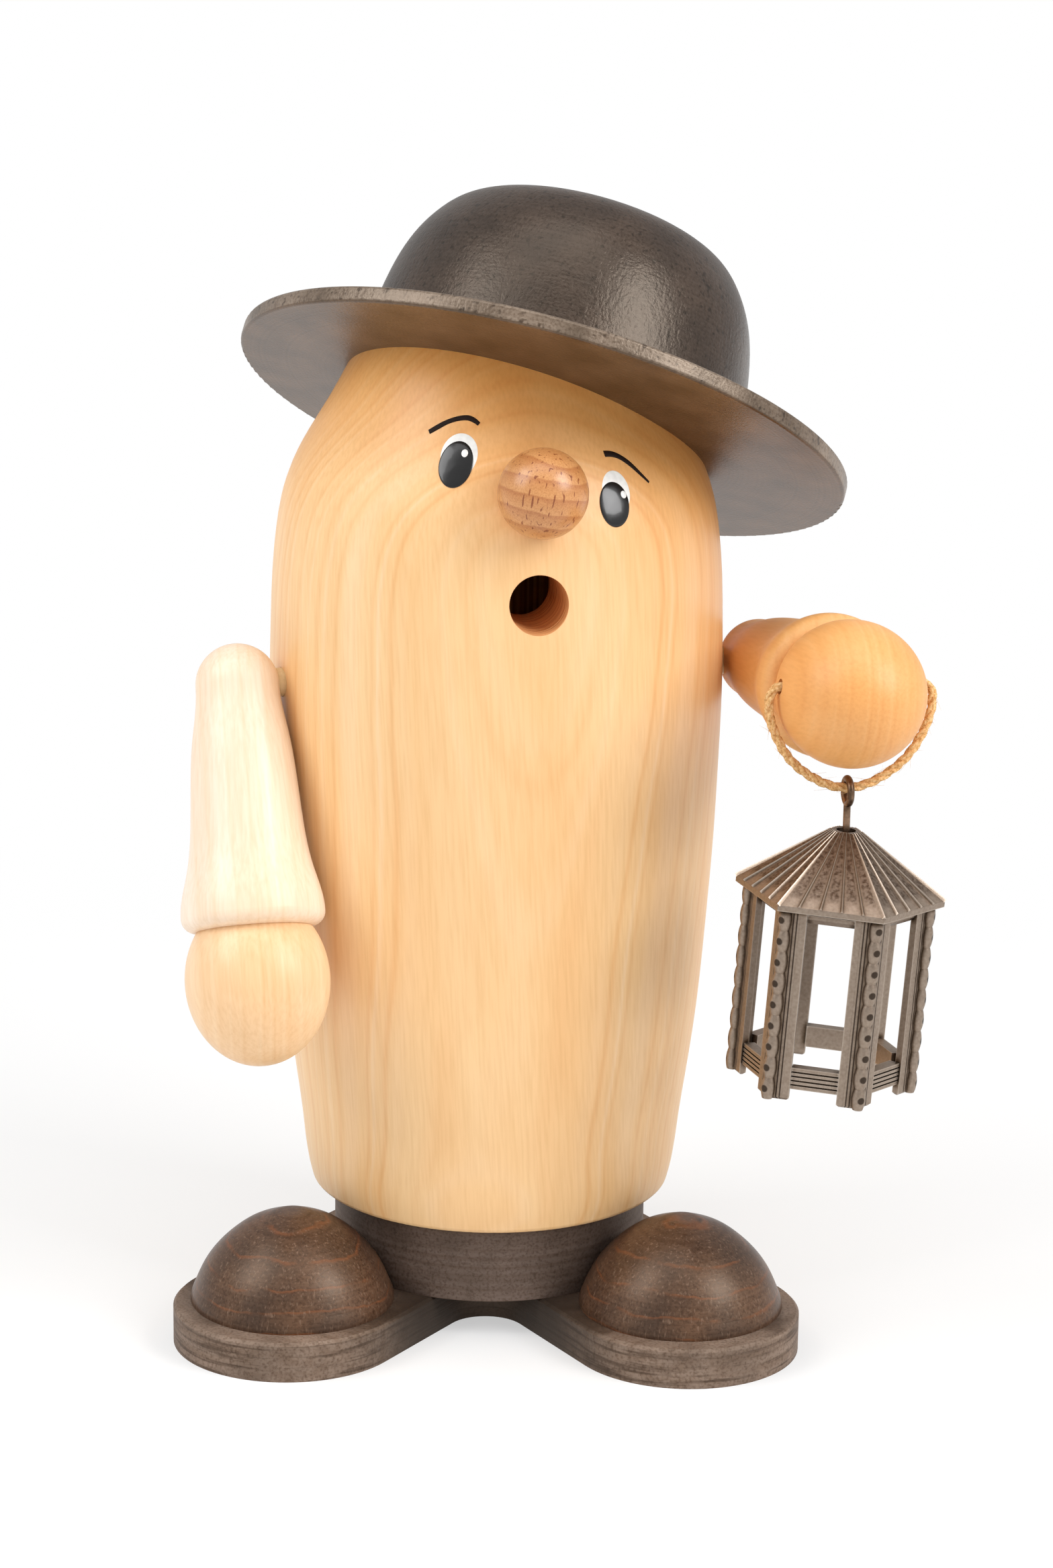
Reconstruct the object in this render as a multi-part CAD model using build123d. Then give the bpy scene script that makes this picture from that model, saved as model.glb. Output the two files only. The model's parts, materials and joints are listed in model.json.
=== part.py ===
from build123d import *
import math
import os

os.makedirs("parts", exist_ok=True)

# Incense smoker: a turned figure with a hat, a lantern in the right hand and a lift-off body.
# The origin is on the axis of the body at floor level, Z is up and the figure faces -Y.

# Clearances
overrun = 2.0
glue_gap = 0.05
running_gap = 0.05
free_gap = 0.3

# Sole plate and shoes
plate_thickness = 7.0
lobe_radius = 20.2
lobe_spread = 34.5
lobe_forward = 28.5
toe_edge_angle = 32.0
notch_radius = 7.0
heel_radius = 28.0
heel_back = 10.0
plate_chamfer = 0.5
cap_radius = 17.8
cap_height = 16.0
cap_spread = 34.0
cap_forward = 27.0
cap_height_shares = (0.15, 0.35, 0.575, 0.75, 0.88, 0.96)
cap_radius_shares = (0.965, 0.885, 0.745, 0.58, 0.405, 0.23)

# Pedestal and dish
pedestal_radius = 28.0
pedestal_height = 14.0
pedestal_chamfer = 0.6
spigot_height = 8.0
spigot_chamfer = 0.8
turn_gap = 0.1
dish_radius = 15.0
dish_wall = 0.6
dish_depth = 3.2
dish_lip = 2.0
dish_recess = 2.2

# Dowels of the base
base_dowel_radius = 3.0
base_dowel_length = 12.0
base_dowel_sink = 5.0
pedestal_dowel_spread = 14.0

# Body and head in one turned piece
foot_radius = 31.8
foot_round = 1.2
waist_radius = 39.6
waist_height = 91.0
blank_height = 157.0
blank_top_radius = 18.0
body_height_shares = (0.032, 0.073, 0.135, 0.21, 0.31, 0.41, 0.5)
body_radius_shares = (0.833, 0.853, 0.886, 0.923, 0.955, 0.98, 0.993)
head_height_shares = (0.66, 0.718, 0.745, 0.79, 0.83, 0.866, 0.898, 0.95)
head_radius_shares = (0.995, 0.985, 0.975, 0.947, 0.894, 0.818, 0.74, 0.625)
chamber_radius = 22.0
chamber_height = 119.0
chamber_cone_height = 4.0
mouth_radius = 5.0
mouth_height = 133.5
air_hole_radius = 4.5
air_hole_height = 38.0
face_azimuth = -79.0

# Nose
nose_radius = 7.5
nose_height = 152.4
nose_reach = 40.6
nose_dowel_radius = 2.0
nose_dowel_length = 14.0
nose_dowel_grip = 2.0

# Hat
hat_seat_height = 160.6
hat_tilt = 28.7
hat_tilt_azimuth = 59.8
hat_shift = 8.3
hat_shift_azimuth = 30.5
brim_radius = 54.1
brim_thickness = 2.8
brim_edge_round = 0.6
crown_radius = 35.0
crown_height = 35.0
crown_side_angle = 19.3
crown_height_shares = (0.2, 0.4, 0.55, 0.68, 0.79, 0.88, 0.94, 0.98)
crown_radius_shares = (0.966, 0.94, 0.909, 0.863, 0.8, 0.72, 0.606, 0.377)
hat_dowel_radius = 4.0
hat_dowel_grip = 9.0

# Arms
shoulder_height = 114.7
shoulder_reach = 47.5
shoulder_dowel_radius = 2.5
shoulder_dowel_sink = 12.0
shoulder_dowel_grip = 3.5
arm_lean = 3.0
left_shoulder_azimuth = 202.3
left_arm_swing = 22.0
right_shoulder_azimuth = 11.3
right_arm_swing = 95.7
sleeve_cap_radius = 7.15
cuff_radius = 12.25
cuff_distance = 39.3
cuff_end = 41.95
sleeve_length_shares = (0.21, 0.5, 0.76)
sleeve_radius_shares = (0.673, 0.765, 0.88)
hand_cross_radius = 12.3
hand_half_length = 14.5
hand_cut = 8.7
wrist_dowel_radius = 2.5
wrist_dowel_length = 14.0

# String
string_radius = 0.8
string_hole_radius = 1.3
string_hole_rise = 1.6
string_arc_share = 0.45
string_route = [
    (-0.6, 0.0),
    (-14.0, 0.0),
    (-13.9, -6.1),
    (-9.5, -14.0),
    (0.0, -18.7),
    (9.5, -14.0),
    (13.9, -6.1),
    (14.0, 0.0),
    (0.6, 0.0),
]

# Wire eye
wire_radius = 0.6
eye_radius = 2.1
eye_bend_gap = 0.15
pin_head_radius = 2.2
pin_head_height = 0.8

# Lantern
lantern_drop = 7.2
lantern_lean = 3.8
lantern_turn = -9.7
roof_radius = 17.55
roof_height = 10.1
roof_top_radius = 2.6
eaves_height = 1.0
roof_hole_radius = 1.65
roof_ceiling_height = 8.0
roof_ceiling_radius = 3.6
soffit_radius = 11.2
rib_width = 0.8
rib_height = 0.4
rib_sink = 0.15
rib_root_share = 0.3
panels_per_face = 5
post_corner_radius = 15.3
post_side = 3.7
post_wall = 1.2
lantern_height = 33.8
post_foot_chamfer = 0.4
bead_inset = 0.2
bead_count = 9
bead_radius = 1.15
bead_neck_radius = 0.85
rail_setback = 0.35
rail_depth = 2.0
bottom_rail_height = 3.7
bottom_rail_rise = 2.0
bottom_groove_count = 4
groove_depth = 0.22
groove_width = 0.3
top_rail_height = 2.3
top_rail_chamfer = 0.9

# Worked-out places
base_top = plate_thickness + pedestal_height
spigot_radius = chamber_radius - turn_gap
spigot_top = base_top + spigot_height
dish_floor = spigot_top - dish_recess
lantern_sides = 6


def polar(distance, azimuth, height=0):
    """Point at a distance from the body's axis."""
    angle = math.radians(azimuth)
    return Vector(distance * math.cos(angle), distance * math.sin(angle), height)


def save(shape, node):
    """Write one sub-part."""
    export_step(shape, f"parts/{node}.step")


def upright_rod(radius, low, high, x=0, y=0):
    """Vertical rod between two heights."""
    return Pos(x, y, low) * Cylinder(radius, high - low, align=(Align.CENTER, Align.CENTER, Align.MIN))


def radial_rod(radius, near, far, azimuth, height):
    """Level rod that points away from the body's axis."""
    plane = Plane(origin=polar(near, azimuth, height), z_dir=polar(1, azimuth))
    return plane * Cylinder(radius, far - near, align=(Align.CENTER, Align.CENTER, Align.MIN))


def plate_outline():
    """Sole outline: two toe lobes, straight inner edges and a round heel."""
    edge = math.radians(toe_edge_angle)
    inner = (lobe_spread - lobe_radius * math.cos(edge), -lobe_forward - lobe_radius * math.sin(edge))
    notch_y = inner[1] + inner[0] / math.tan(edge)
    reach_x = lobe_spread
    reach_y = -lobe_forward - heel_back
    reach = math.hypot(reach_x, reach_y)
    turn = math.atan2(reach_y, reach_x) + math.acos((heel_radius - lobe_radius) / reach)
    outer = (lobe_spread + lobe_radius * math.cos(turn), -lobe_forward + lobe_radius * math.sin(turn))
    heel = (heel_radius * math.cos(turn), heel_back + heel_radius * math.sin(turn))
    web = Polygon(
        (0, notch_y),
        inner,
        (lobe_spread, -lobe_forward),
        outer,
        heel,
        (-heel[0], heel[1]),
        (-outer[0], outer[1]),
        (-lobe_spread, -lobe_forward),
        (-inner[0], inner[1]),
        align=None,
    )
    behind = Pos(0, heel[1] + heel_radius) * Rectangle(heel_radius * 2, heel_radius * 2)
    outline = web + (Pos(0, heel_back) * Circle(heel_radius) & behind)
    for side in (-1, 1):
        outline += Pos(side * lobe_spread, -lobe_forward) * Circle(lobe_radius)
    return outline


def base_dowel_places():
    """Centres of the shoe dowels, left then right, and of the two pedestal dowels."""
    shoes = [(-cap_spread, -cap_forward), (cap_spread, -cap_forward)]
    middle = [(-pedestal_dowel_spread, 0), (pedestal_dowel_spread, 0)]
    return shoes, middle


def base_dowel_cut(x, y):
    """Hole that a base dowel is glued into."""
    low = plate_thickness - base_dowel_sink
    return upright_rod(base_dowel_radius + glue_gap, low - glue_gap, low + base_dowel_length + glue_gap, x, y)


def make_sole_plate():
    """Plywood plate that both shoes and the pedestal stand on."""
    plate = extrude(plate_outline(), plate_thickness)
    notch = [e for e in plate.edges().filter_by(Axis.Z) if abs(e.center().X) < glue_gap and e.center().Y < 0]
    plate = fillet(notch, notch_radius)
    rims = plate.faces().sort_by(Axis.Z)[-1].edges()
    plate = chamfer(rims, plate_chamfer)
    for places in base_dowel_places():
        for x, y in places:
            plate -= base_dowel_cut(x, y)
    return plate


def make_shoe_cap(side):
    """Domed toe cap with its back scooped round the pedestal."""
    start = (cap_radius, 0)
    points = [(cap_radius * r, cap_height * h) for h, r in zip(cap_height_shares, cap_radius_shares)]
    dome = Spline(start, *points, (0, cap_height), tangents=[(0, 1), (-1, 0)])
    outline = [dome, Line((0, cap_height), (0, 0)), Line((0, 0), start)]
    cap = revolve(Plane.XZ * make_face(outline), Axis.Z)
    cap = Pos(side * cap_spread, -cap_forward, plate_thickness) * cap
    cap -= upright_rod(pedestal_radius + free_gap, plate_thickness - overrun, base_top + overrun)
    return cap - base_dowel_cut(side * cap_spread, -cap_forward)


def make_pedestal():
    """Disc under the body with the spigot that centres it and the recess for the dish."""
    disc = upright_rod(pedestal_radius, plate_thickness, base_top)
    disc = chamfer(disc.edges().sort_by(Axis.Z)[-1], pedestal_chamfer)
    spigot = upright_rod(spigot_radius, base_top - overrun, spigot_top)
    spigot = chamfer(spigot.edges().sort_by(Axis.Z)[-1], spigot_chamfer)
    pedestal = disc + spigot
    pedestal -= upright_rod(dish_radius + free_gap, dish_floor, spigot_top + overrun)
    for x, y in base_dowel_places()[1]:
        pedestal -= base_dowel_cut(x, y)
    return pedestal


def make_base_dowel(x, y):
    """Beech dowel between the plate and what stands on it."""
    low = plate_thickness - base_dowel_sink
    return upright_rod(base_dowel_radius, low, low + base_dowel_length, x, y)


def make_dish():
    """Pressed dish with a flat lip, loose in the recess of the spigot."""
    pan = upright_rod(dish_radius, dish_floor, dish_floor + dish_depth)
    lip = upright_rod(dish_radius + dish_lip, dish_floor + dish_depth - dish_wall, dish_floor + dish_depth)
    hollow = upright_rod(dish_radius - dish_wall, dish_floor + dish_wall, dish_floor + dish_depth + overrun)
    return pan + lip - hollow


def blank_points(height_shares, radius_shares):
    """Places up the side of the body."""
    return [(waist_radius * r, base_top + blank_height * h) for h, r in zip(height_shares, radius_shares)]


def body_blank():
    """Turned outside of body and head before the head is cut for the hat."""
    low = (foot_radius, base_top)
    belly = blank_points(body_height_shares, body_radius_shares)
    waist = (waist_radius, base_top + waist_height)
    head = blank_points(head_height_shares, head_radius_shares)
    top = (blank_top_radius, base_top + blank_height)
    side = Spline(low, *belly, waist, *head, top)
    outline = [Line((0, base_top), low), side, Line(top, (0, top[1])), Line((0, top[1]), (0, base_top))]
    blank = revolve(Plane.XZ * make_face(outline), Axis.Z)
    foot = blank.edges().filter_by(GeomType.CIRCLE).sort_by(Axis.Z)[0]
    return fillet(foot, foot_round)


def hat_plane():
    """Plane of the cut on the head, centred under the hat, with Z out of the crown."""
    tilt = math.radians(hat_tilt)
    level = polar(math.sin(tilt), hat_tilt_azimuth)
    normal = Vector(level.X, level.Y, math.cos(tilt))
    centre = polar(hat_shift, hat_shift_azimuth)
    drop = (centre.X * normal.X + centre.Y * normal.Y) / normal.Z
    return Plane(origin=(centre.X, centre.Y, hat_seat_height - drop), z_dir=normal)


def hat_dowel_rod(radius, gap=0):
    """Dowel from the head through the brim into the crown."""
    length = brim_thickness + hat_dowel_grip * 2 + gap * 2
    return hat_plane() * Pos(0, 0, -hat_dowel_grip - gap) * Cylinder(
        radius, length, align=(Align.CENTER, Align.CENTER, Align.MIN)
    )


def nose_dowel_rod(radius, gap=0):
    """Dowel from the face into the nose."""
    far = nose_reach + nose_dowel_grip
    return radial_rod(radius, far - nose_dowel_length - gap, far + gap, face_azimuth, nose_height)


def shoulder_dowel_rod(azimuth, radius, gap=0):
    """Dowel from the side of the body into the cap of a sleeve."""
    near = waist_radius - shoulder_dowel_sink
    far = shoulder_reach + shoulder_dowel_grip
    return radial_rod(radius, near - gap, far + gap, azimuth, shoulder_height)


def make_body_shell(blank):
    """Hollow body with the smoke chamber, mouth, air hole and the holes of its dowels."""
    head_cut = hat_plane()
    shell = split(blank, bisect_by=head_cut, keep=Keep.BOTTOM)
    chamber_top = base_top + chamber_height
    shell -= upright_rod(chamber_radius, base_top - overrun, chamber_top - chamber_cone_height)
    shell -= Pos(0, 0, chamber_top - chamber_cone_height) * Cone(
        chamber_radius,
        chamber_radius - chamber_cone_height,
        chamber_cone_height,
        align=(Align.CENTER, Align.CENTER, Align.MIN),
    )
    middle = chamber_radius / 2
    shell -= radial_rod(mouth_radius, middle, waist_radius + overrun, face_azimuth, mouth_height)
    shell -= radial_rod(air_hole_radius, middle, waist_radius + overrun, face_azimuth + 180, air_hole_height)
    shell -= hat_dowel_rod(hat_dowel_radius + glue_gap, glue_gap)
    shell -= nose_dowel_rod(nose_dowel_radius + glue_gap, glue_gap)
    for azimuth in (left_shoulder_azimuth, right_shoulder_azimuth):
        shell -= shoulder_dowel_rod(azimuth, shoulder_dowel_radius + glue_gap, glue_gap)
    return shell


def make_nose(blank):
    """Beech ball seated on the face."""
    ball = Pos(*polar(nose_reach, face_azimuth, nose_height)) * Sphere(nose_radius)
    return ball - blank - nose_dowel_rod(nose_dowel_radius + glue_gap, glue_gap)


def make_brim():
    """Flat disc of the hat."""
    brim = Cylinder(brim_radius, brim_thickness, align=(Align.CENTER, Align.CENTER, Align.MIN))
    brim = fillet(brim.edges().filter_by(GeomType.CIRCLE), brim_edge_round)
    return hat_plane() * brim - hat_dowel_rod(hat_dowel_radius + glue_gap, glue_gap)


def make_crown():
    """Turned bowler crown."""
    start = (crown_radius, brim_thickness)
    top = (0, brim_thickness + crown_height)
    points = [
        (crown_radius * r, brim_thickness + crown_height * h)
        for h, r in zip(crown_height_shares, crown_radius_shares)
    ]
    lean = (-math.tan(math.radians(crown_side_angle)), 1)
    side = Spline(start, *points, top, tangents=[lean, (-1, 0)])
    outline = [side, Line(top, (0, brim_thickness)), Line((0, brim_thickness), start)]
    crown = hat_plane() * revolve(Plane.XZ * make_face(outline), Axis.Z)
    return crown - hat_dowel_rod(hat_dowel_radius + glue_gap, glue_gap)


def arm_plane(azimuth, swing, side):
    """Plane at the shoulder with Z up the arm and X along the shoulder dowel, away from the body."""
    lean = math.radians(arm_lean)
    angle = math.radians(swing)
    out = polar(1, azimuth)
    forward = Vector(-out.Y * side, out.X * side, 0)
    down = forward * (math.sin(angle) * math.cos(lean)) + out * math.sin(lean)
    down = down - Vector(0, 0, math.cos(angle) * math.cos(lean))
    across = (out - down * math.sin(lean)).normalized()
    return Plane(origin=polar(shoulder_reach, azimuth, shoulder_height), x_dir=across, z_dir=-down)


def arm_planes():
    """Shoulder planes of the left and the right arm."""
    return {
        "left": arm_plane(left_shoulder_azimuth, left_arm_swing, 1),
        "right": arm_plane(right_shoulder_azimuth, right_arm_swing, -1),
    }


def wrist_dowel_rod(radius, gap=0):
    """Dowel between cuff and hand, in the arm's own frame."""
    return Pos(0, 0, -cuff_end) * Cylinder(radius, wrist_dowel_length + gap * 2)


def make_sleeve(plane, azimuth):
    """Turned sleeve: round shoulder cap, long taper and full cuff."""
    cap_top = (0, sleeve_cap_radius)
    cap_side = (sleeve_cap_radius, 0)
    taper = [(cuff_radius * r, -cuff_end * d) for d, r in zip(sleeve_length_shares, sleeve_radius_shares)]
    cuff = (cuff_radius, -cuff_distance)
    seam_radius = hand_cross_radius * math.sqrt(1 - (hand_cut / hand_half_length) ** 2)
    shoulder = RadiusArc(cap_top, cap_side, sleeve_cap_radius)
    side = Spline(cap_side, *taper, cuff, tangents=[(0, -1), (0, -1)])
    hem = Polyline(cuff, (cuff_radius, -cuff_end), (0, -cuff_end), cap_top)
    sleeve = revolve(Plane.XZ * make_face([shoulder, side, *hem.edges()]), Axis.Z)
    rim = sleeve.edges().filter_by(GeomType.CIRCLE).sort_by(Axis.Z)[0]
    sleeve = fillet(rim, cuff_radius - seam_radius)
    sleeve -= wrist_dowel_rod(wrist_dowel_radius + glue_gap, glue_gap)
    sleeve = plane * sleeve
    return sleeve - shoulder_dowel_rod(azimuth, shoulder_dowel_radius + running_gap, running_gap)


def hand_centre():
    """Middle of the hand below the shoulder, in the arm's own frame."""
    return -(cuff_end + hand_cut)


def make_hand(plane):
    """Egg-shaped hand cut flat where it meets the cuff."""
    length = hand_half_length * 2
    right_half = Pos(hand_half_length) * Rectangle(length, length)
    egg = revolve(Plane.XZ * (Ellipse(hand_cross_radius, hand_half_length) & right_half), Axis.Z)
    egg = Pos(0, 0, hand_centre()) * egg
    egg -= Pos(0, 0, -cuff_end) * Box(length, length, length, align=(Align.CENTER, Align.CENTER, Align.MIN))
    egg -= wrist_dowel_rod(wrist_dowel_radius + glue_gap, glue_gap)
    return plane * egg


def string_frame():
    """Plane of the hanging loop: X along the hole through the hand, Y up, origin in the hole."""
    plane = arm_planes()["right"]
    centre = plane.origin + plane.z_dir * hand_centre()
    across = polar(1, right_shoulder_azimuth)
    forward = Vector(across.Y, -across.X, 0)
    return Plane(origin=centre + Vector(0, 0, string_hole_rise), x_dir=across, z_dir=forward)


def string_hole():
    """Hole across the right hand that the string runs through."""
    frame = string_frame()
    bore = Plane(origin=frame.origin, z_dir=frame.x_dir)
    return bore * Cylinder(string_hole_radius, (hand_half_length + overrun) * 2)


def route_corners():
    """For each corner of the route: where its arc starts, its middle, its end and its radius."""
    corners = []
    for before, corner, after in zip(string_route, string_route[1:], string_route[2:]):
        p = Vector(*corner)
        back = Vector(*before) - p
        ahead = Vector(*after) - p
        half_turn = (math.pi - math.radians(back.get_angle(ahead))) / 2
        reach = string_arc_share * min(back.length, ahead.length)
        radius = reach / math.tan(half_turn)
        inward = (back.normalized() + ahead.normalized()).normalized()
        sag = radius / math.cos(half_turn) - radius
        start = p + back.normalized() * reach
        end = p + ahead.normalized() * reach
        corners.append((start, p + inward * sag, end, radius))
    return corners


def make_string():
    """Loop of cord: straight runs joined by tangent arcs, ends meeting inside the hand."""
    edges = []
    at = Vector(*string_route[0])
    for start, middle, end, radius in route_corners():
        edges.append(Line(at, start))
        edges.append(ThreePointArc(start, middle, end))
        at = end
    edges.append(Line(at, Vector(*string_route[-1])))
    path = string_frame() * Wire(edges)
    section = Plane(origin=path @ 0, z_dir=path % 0) * Circle(string_radius)
    loop = sweep(section, path)
    ideal = math.pi * string_radius**2 * path.length
    print("string arc radii", [round(corner[3], 2) for corner in route_corners()])
    print("string volume share", round(loop.volume / ideal, 4))
    return loop


def hang_point():
    """Lowest place of the string's centre line, where the wire eye hangs."""
    low = min((c[1] for c in route_corners()), key=lambda p: p.Y)
    return string_frame().from_local_coords(low)


def make_eye():
    """Wire eye on the string, with its pin and the head that carries the lantern."""
    hang = hang_point()
    across = polar(1, right_shoulder_azimuth)
    ring_rise = string_radius + eye_bend_gap + wire_radius - eye_radius
    ring = Plane(origin=hang + Vector(0, 0, ring_rise), z_dir=across) * Torus(eye_radius, wire_radius)
    ceiling = -lantern_drop - (roof_height - roof_ceiling_height)
    head_top = ceiling - free_gap
    pin_top = ring_rise - eye_radius
    eye = ring + Pos(*hang) * upright_rod(wire_radius, head_top - pin_head_height / 2, pin_top)
    return eye + Pos(*hang) * upright_rod(pin_head_radius, head_top - pin_head_height, head_top)


def lantern_frame():
    """Plane at the eaves of the lantern, which leans about the hole in its roof."""
    lean = math.radians(lantern_lean)
    axis = Vector(math.sin(lean), 0, math.cos(lean))
    level = polar(1, lantern_turn)
    x_dir = (level - axis * level.dot(axis)).normalized()
    apex = hang_point() - Vector(0, 0, lantern_drop)
    return Plane(origin=apex - axis * roof_height, x_dir=x_dir, z_dir=axis)


def hexagon(radius, height):
    """Hexagon on the lantern's axis with a corner on X."""
    return Pos(0, 0, height) * RegularPolygon(radius, lantern_sides)


def face_point(radius, step, height):
    """Place along the edge of a hexagon, counted in panels from the corner on X."""
    side, part = divmod(step, panels_per_face)
    turn = 360 / lantern_sides
    first = polar(radius, side * turn, height)
    second = polar(radius, (side + 1) * turn, height)
    return first + (second - first) * (part / panels_per_face)


def make_rib(step):
    """Raised rib that runs down the roof and widens towards the eaves."""
    top = face_point(roof_top_radius, step, roof_height)
    foot = face_point(roof_radius, step, 0)
    down = (foot - top).normalized()
    tangent = Vector(0, 0, 1).cross(Vector(foot.X, foot.Y, 0)).normalized()
    side, part = divmod(step, panels_per_face)
    if part:
        tangent = (face_point(1, step + 1, 0) - face_point(1, step, 0)).normalized()
    out = tangent.cross(down) * -1
    ends = []
    for place, share in ((top, rib_root_share), (foot, 1)):
        half = tangent * (rib_width / 2 * share)
        sunk = place - out * rib_sink
        ridge = place + out * (rib_height * share)
        ends.append(make_face(Polyline(sunk - half, sunk + half, ridge, close=True)))
    return loft(ends, ruled=True)


def make_roof(frame):
    """Ribbed roof casting: six sloping faces, an eaves band, a hollow underside and the pin hole."""
    roof = loft([hexagon(roof_radius, 0), hexagon(roof_top_radius, roof_height)], ruled=True)
    roof += extrude(hexagon(roof_radius, -eaves_height), eaves_height)
    roof += [make_rib(step) for step in range(lantern_sides * panels_per_face)]
    soffit = hexagon(soffit_radius, -eaves_height)
    ceiling = hexagon(roof_ceiling_radius, roof_ceiling_height)
    roof -= loft([soffit, ceiling], ruled=True)
    roof -= upright_rod(roof_hole_radius, roof_ceiling_height - overrun, roof_height + overrun)
    return frame * roof


def make_post(frame, index):
    """Corner post: two flats, and a beaded rod down the corner between them."""
    corner = Vector(post_corner_radius, 0)
    half_corner = 180 / lantern_sides
    outer = []
    inner = []
    for sign in (1, -1):
        along = polar(post_side, sign * (90 + half_corner))
        inward = polar(post_wall, sign * half_corner + 180)
        outer.append(corner + along)
        inner.append(corner + along + inward)
    crease = Vector(post_corner_radius - post_wall / math.cos(math.radians(half_corner)), 0)
    outline = Polygon(outer[0], corner, outer[1], inner[1], crease, inner[0], align=None)
    height = lantern_height - eaves_height
    post = Pos(0, 0, -lantern_height) * extrude(outline, height, dir=(0, 0, 1))
    post = chamfer(post.faces().sort_by(Axis.Z)[0].edges(), post_foot_chamfer)
    pitch = height / bead_count
    edges = [Line((0, 0), (bead_neck_radius, 0))]
    for bead in range(bead_count):
        low = (bead_neck_radius, bead * pitch)
        high = (bead_neck_radius, (bead + 1) * pitch)
        edges.append(ThreePointArc(low, (bead_radius, (bead + 0.5) * pitch), high))
    edges.append(Line((bead_neck_radius, height), (0, height)))
    edges.append(Line((0, height), (0, 0)))
    rod = revolve(Plane.XZ * make_face(edges), Axis.Z)
    post += Pos(post_corner_radius - bead_inset, 0, -lantern_height) * rod
    return frame * (Rot(0, 0, index * 360 / lantern_sides) * post)


def rail_length():
    """Clear width between the flats of two posts."""
    return post_corner_radius - post_side * 2


def place_rail(frame, section, index):
    """Rail of a given section between two posts."""
    bar = extrude(Plane.XZ * section, rail_length() / 2, both=True)
    return frame * (Rot(0, 0, (index + 0.5) * 360 / lantern_sides) * bar)


def rail_face():
    """Distance of the rails' outer face from the lantern's axis."""
    return post_corner_radius * math.cos(math.pi / lantern_sides) - rail_setback


def make_bottom_rail(frame, index):
    """Grooved sill between the feet of two posts."""
    low = bottom_rail_rise - lantern_height
    section = Rectangle(rail_depth, bottom_rail_height, align=(Align.MAX, Align.MIN))
    section = Pos(rail_face(), low) * section
    pitch = bottom_rail_height / (bottom_groove_count + 1)
    for groove in range(bottom_groove_count):
        section -= Pos(rail_face(), low + pitch * (groove + 1)) * Rectangle(groove_depth * 2, groove_width)
    return place_rail(frame, section, index)


def make_top_rail(frame, index):
    """Lintel under the eaves with a sloping lower edge and a groove."""
    face = rail_face()
    high = -eaves_height
    low = high - top_rail_height
    section = Polygon(
        (face, high),
        (face, low + top_rail_chamfer),
        (face - top_rail_chamfer, low),
        (face - rail_depth, low),
        (face - rail_depth, high),
        align=None,
    )
    section -= Pos(face, high - top_rail_height / 4) * Rectangle(groove_depth * 2, groove_width)
    return place_rail(frame, section, index)


def main():
    """Build and write every sub-part."""
    save(make_sole_plate(), "sole_plate")
    save(make_pedestal(), "pedestal")
    shoes, middle = base_dowel_places()
    for name, side, place in (("left", -1, shoes[0]), ("right", 1, shoes[1])):
        save(make_shoe_cap(side), f"{name}_shoe_cap")
        save(make_base_dowel(*place), f"{name}_shoe_dowel")
    for name, place in (("left", middle[0]), ("right", middle[1])):
        save(make_base_dowel(*place), f"{name}_pedestal_dowel")
    save(make_dish(), "incense_dish")

    blank = body_blank()
    save(make_body_shell(blank), "body_shell")
    save(make_nose(blank), "nose_ball")
    save(nose_dowel_rod(nose_dowel_radius), "nose_dowel")
    save(make_brim(), "hat_brim")
    save(make_crown(), "hat_crown")
    save(hat_dowel_rod(hat_dowel_radius), "hat_dowel")

    azimuths = {"left": left_shoulder_azimuth, "right": right_shoulder_azimuth}
    for name, plane in arm_planes().items():
        hand = make_hand(plane)
        if name == "right":
            hand -= string_hole()
        save(shoulder_dowel_rod(azimuths[name], shoulder_dowel_radius), f"{name}_shoulder_dowel")
        save(make_sleeve(plane, azimuths[name]), f"{name}_sleeve")
        save(hand, f"{name}_hand")
        save(plane * wrist_dowel_rod(wrist_dowel_radius), f"{name}_wrist_dowel")

    save(make_string(), "lantern_string")
    save(make_eye(), "lantern_eye")
    frame = lantern_frame()
    save(make_roof(frame), "lantern_roof")
    for index in range(lantern_sides):
        save(make_post(frame, index), f"lantern_post_{index + 1}")
        save(make_bottom_rail(frame, index), f"lantern_bottom_rail_{index + 1}")
        save(make_top_rail(frame, index), f"lantern_top_rail_{index + 1}")


main()
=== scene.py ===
import json
import math
import random

import bmesh
import bpy
from mathutils import Matrix, Vector


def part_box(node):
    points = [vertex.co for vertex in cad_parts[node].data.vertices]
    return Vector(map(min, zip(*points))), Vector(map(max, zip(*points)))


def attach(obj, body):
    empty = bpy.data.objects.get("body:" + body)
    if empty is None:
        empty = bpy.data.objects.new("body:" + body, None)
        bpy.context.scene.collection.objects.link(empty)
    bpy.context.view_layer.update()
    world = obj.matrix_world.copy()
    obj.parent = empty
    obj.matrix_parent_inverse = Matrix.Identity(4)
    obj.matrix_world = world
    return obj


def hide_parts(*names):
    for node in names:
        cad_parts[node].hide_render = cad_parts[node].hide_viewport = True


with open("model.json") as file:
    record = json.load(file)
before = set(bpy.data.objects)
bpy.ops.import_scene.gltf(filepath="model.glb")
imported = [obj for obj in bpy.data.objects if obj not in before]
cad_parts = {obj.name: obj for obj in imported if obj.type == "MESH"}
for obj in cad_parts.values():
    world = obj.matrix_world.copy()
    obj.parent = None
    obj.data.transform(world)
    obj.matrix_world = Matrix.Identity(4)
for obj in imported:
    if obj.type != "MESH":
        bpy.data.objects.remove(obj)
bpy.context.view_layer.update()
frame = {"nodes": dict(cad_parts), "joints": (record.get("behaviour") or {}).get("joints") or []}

# Lengths are written in millimetres and turned to Blender's metres with MM.
# The origin is on the body's axis at floor level and the figure faces -Y.
MM = 0.001

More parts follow.
